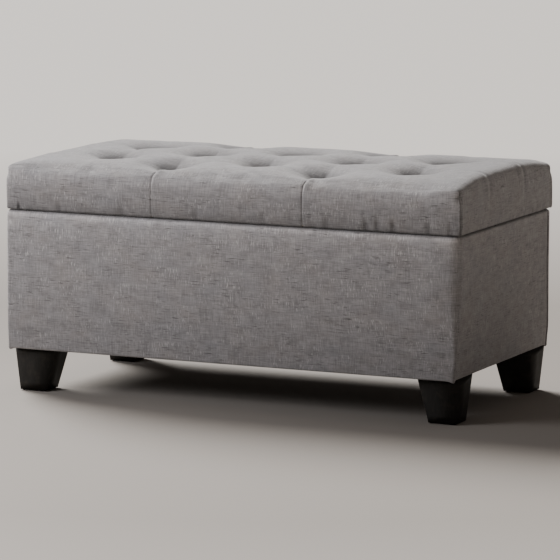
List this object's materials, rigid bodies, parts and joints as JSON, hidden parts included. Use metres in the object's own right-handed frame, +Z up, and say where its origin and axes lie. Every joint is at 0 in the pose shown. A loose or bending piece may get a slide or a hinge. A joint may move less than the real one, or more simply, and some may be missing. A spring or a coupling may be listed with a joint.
{
  "type": "storage bench",
  "caption": "Rectangular upholstered storage bench with a deep-tufted hinged lid, folding lid stays, a hollow lined box and tapered block legs.",
  "frame": {"origin": "on the floor, under the middle of the bench", "axes": "+X along the bench's width, to the right seen from the front; -Y towards the front; +Z up"},
  "size_m": [0.876, 0.4639, 0.434],
  "materials": {
    "linen_fabric": "heathered grey linen-look weave with slubs",
    "foam": "open-cell upholstery foam",
    "black_wood": "black satin paint",
    "board": "raw plywood",
    "lining_cloth": "black non-woven cloth",
    "twine": "waxed upholstery twine",
    "dark_plastic": "matte",
    "steel": "zinc plated"
  },
  "bodies": {
    "box": {"front_board": "board", "back_board": "board", "left_board": "board", "right_board": "board", "front_padding": "foam", "back_padding": "foam", "left_padding": "foam", "right_padding": "foam", "front_cover": "linen_fabric", "back_cover": "linen_fabric", "left_cover": "linen_fabric", "right_cover": "linen_fabric", "corner_posts": "board", "corner_screws": "steel", "bottom_board": "board", "front_cleat": "board", "back_cleat": "board", "left_cleat": "board", "right_cleat": "board", "leg_blocks": "board", "base_screws": "steel", "front_lining": "lining_cloth", "back_lining": "lining_cloth", "left_lining": "lining_cloth", "right_lining": "lining_cloth", "floor_lining": "lining_cloth", "dust_cover": "lining_cloth", "front_left_leg": "black_wood", "front_right_leg": "black_wood", "rear_left_leg": "black_wood", "rear_right_leg": "black_wood", "leg_bolts": "steel", "leg_tee_nuts": "steel", "leg_glides": "dark_plastic", "rim_bumpers": "dark_plastic", "hinge_box_leaves": "steel", "hinge_pins": "steel", "hinge_box_screws": "steel", "stay_box_brackets": "steel", "stay_box_rivets": "steel"},
    "lid": {"lid_board": "board", "lid_foam": "foam", "lid_cover": "linen_fabric", "lid_lining": "lining_cloth", "tuft_buttons": "linen_fabric", "tuft_twines": "twine", "tuft_washers": "steel", "hinge_lid_leaves": "steel", "hinge_lid_screws": "steel", "stay_lid_brackets": "steel", "stay_lid_rivets": "steel"},
    "left_lower_arm": {"left_stay_lower_arm": "steel", "left_elbow_rivet": "steel"},
    "left_upper_arm": {"left_stay_upper_arm": "steel"},
    "right_lower_arm": {"right_stay_lower_arm": "steel", "right_elbow_rivet": "steel"},
    "right_upper_arm": {"right_stay_upper_arm": "steel"}
  },
  "joints": [
    {"name": "lid_hinge", "type": "hinge", "parent": "box", "child": "lid", "pos_m": [0, 0.2291, 0.3318], "axis": [-1, 0, 0], "range_deg": [0, 95]},
    {"name": "left_lower_arm_pivot", "type": "hinge", "parent": "box", "child": "left_lower_arm", "pos_m": [-0.411, 0.1691, 0.2368], "axis": [-1, 0, 0], "range_deg": [0, 95]},
    {"name": "left_upper_arm_pivot", "type": "hinge", "parent": "lid", "child": "left_upper_arm", "pos_m": [-0.411, 0.1091, 0.3188], "axis": [-1, 0, 0], "range_deg": [-95, 0]},
    {"name": "right_lower_arm_pivot", "type": "hinge", "parent": "box", "child": "right_lower_arm", "pos_m": [0.411, 0.1691, 0.2368], "axis": [-1, 0, 0], "range_deg": [0, 95]},
    {"name": "right_upper_arm_pivot", "type": "hinge", "parent": "lid", "child": "right_upper_arm", "pos_m": [0.411, 0.1091, 0.3188], "axis": [-1, 0, 0], "range_deg": [-95, 0]}
  ],
  "couplings": [
    {"joint": "left_lower_arm_pivot", "follows": "lid_hinge", "ratio": 1},
    {"joint": "left_upper_arm_pivot", "follows": "lid_hinge", "ratio": -1},
    {"joint": "right_lower_arm_pivot", "follows": "lid_hinge", "ratio": 1},
    {"joint": "right_upper_arm_pivot", "follows": "lid_hinge", "ratio": -1}
  ]
}
